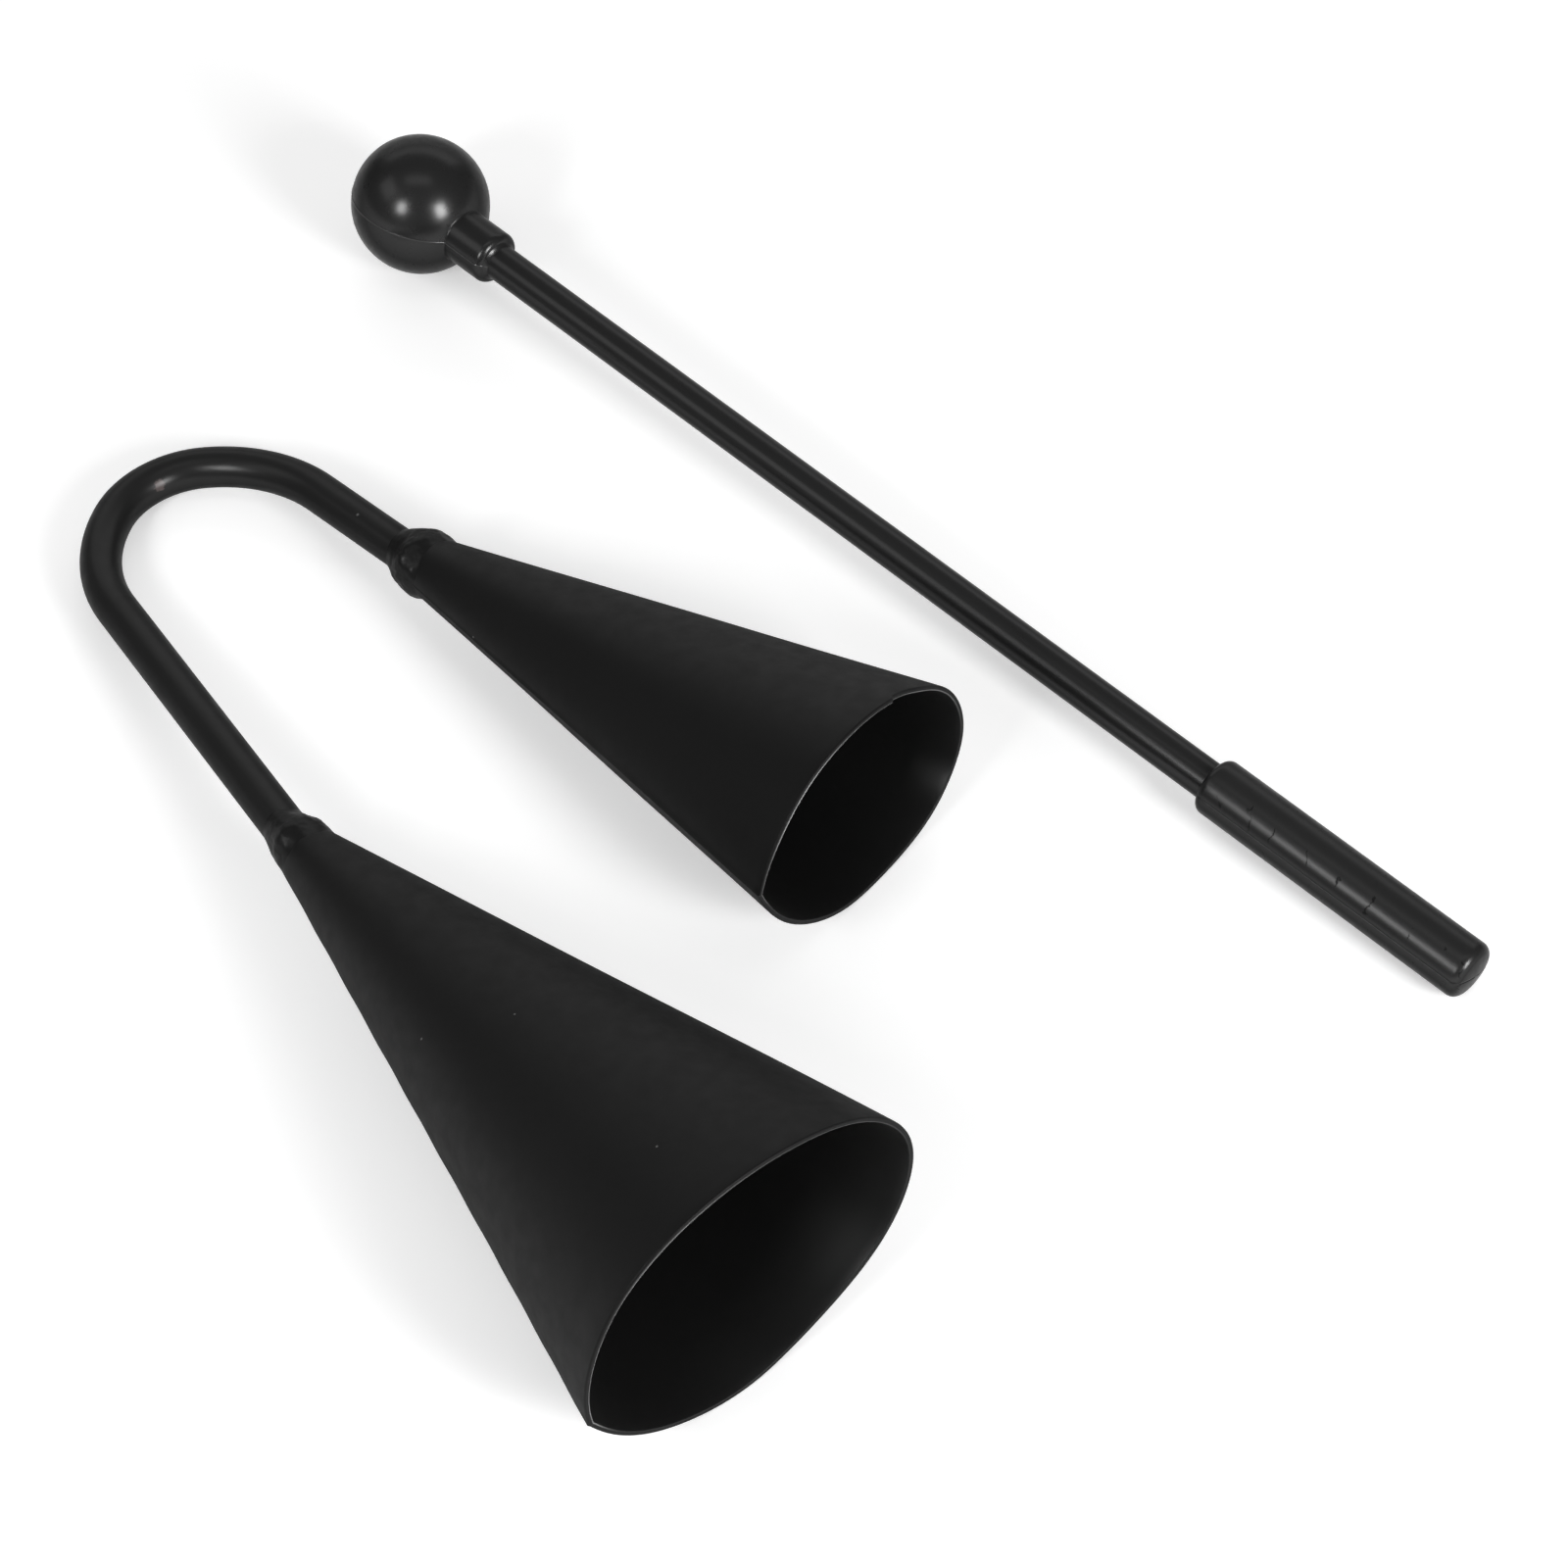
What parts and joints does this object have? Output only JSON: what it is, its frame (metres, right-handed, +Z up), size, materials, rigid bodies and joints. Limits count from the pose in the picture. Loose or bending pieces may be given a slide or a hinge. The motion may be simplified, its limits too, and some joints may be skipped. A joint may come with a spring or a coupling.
{
  "type": "agogo bell",
  "caption": "Agogo bell: a large and a small oval sheet-steel cone welded to the ends of a bent round-bar handle, with a loose ball-headed plastic beater lying beside it.",
  "frame": {"origin": "on the table, under the middle of the box round the bell and its beater", "axes": "+X along the handle's middle line from the bend towards the mouths, +Z up from the table, the beater on the +Y side"},
  "size_m": [0.336, 0.216, 0.0626],
  "materials": {
    "coated_steel": "matte black powder coat",
    "coated_weld": "black coat pooled over weld metal, glossier",
    "head_plastic": "satin moulded",
    "shaft_plastic": "smooth, semi-gloss",
    "grip_plastic": "soft sleeve, glossy with fine scuffs"
  },
  "bodies": {
    "bell": {"handle_rod": "coated_steel", "large_bell": "coated_steel", "small_bell": "coated_steel", "large_bell_weld": "coated_weld", "small_bell_weld": "coated_weld"},
    "beater": {"beater_head": "head_plastic", "beater_shaft": "shaft_plastic", "beater_grip": "grip_plastic"}
  },
  "joints": [
    {"name": "beater_lift", "type": "slide", "parent": "bell", "child": "beater", "axis": [0, 0, 1], "range_m": [0, 0.12]}
  ]
}
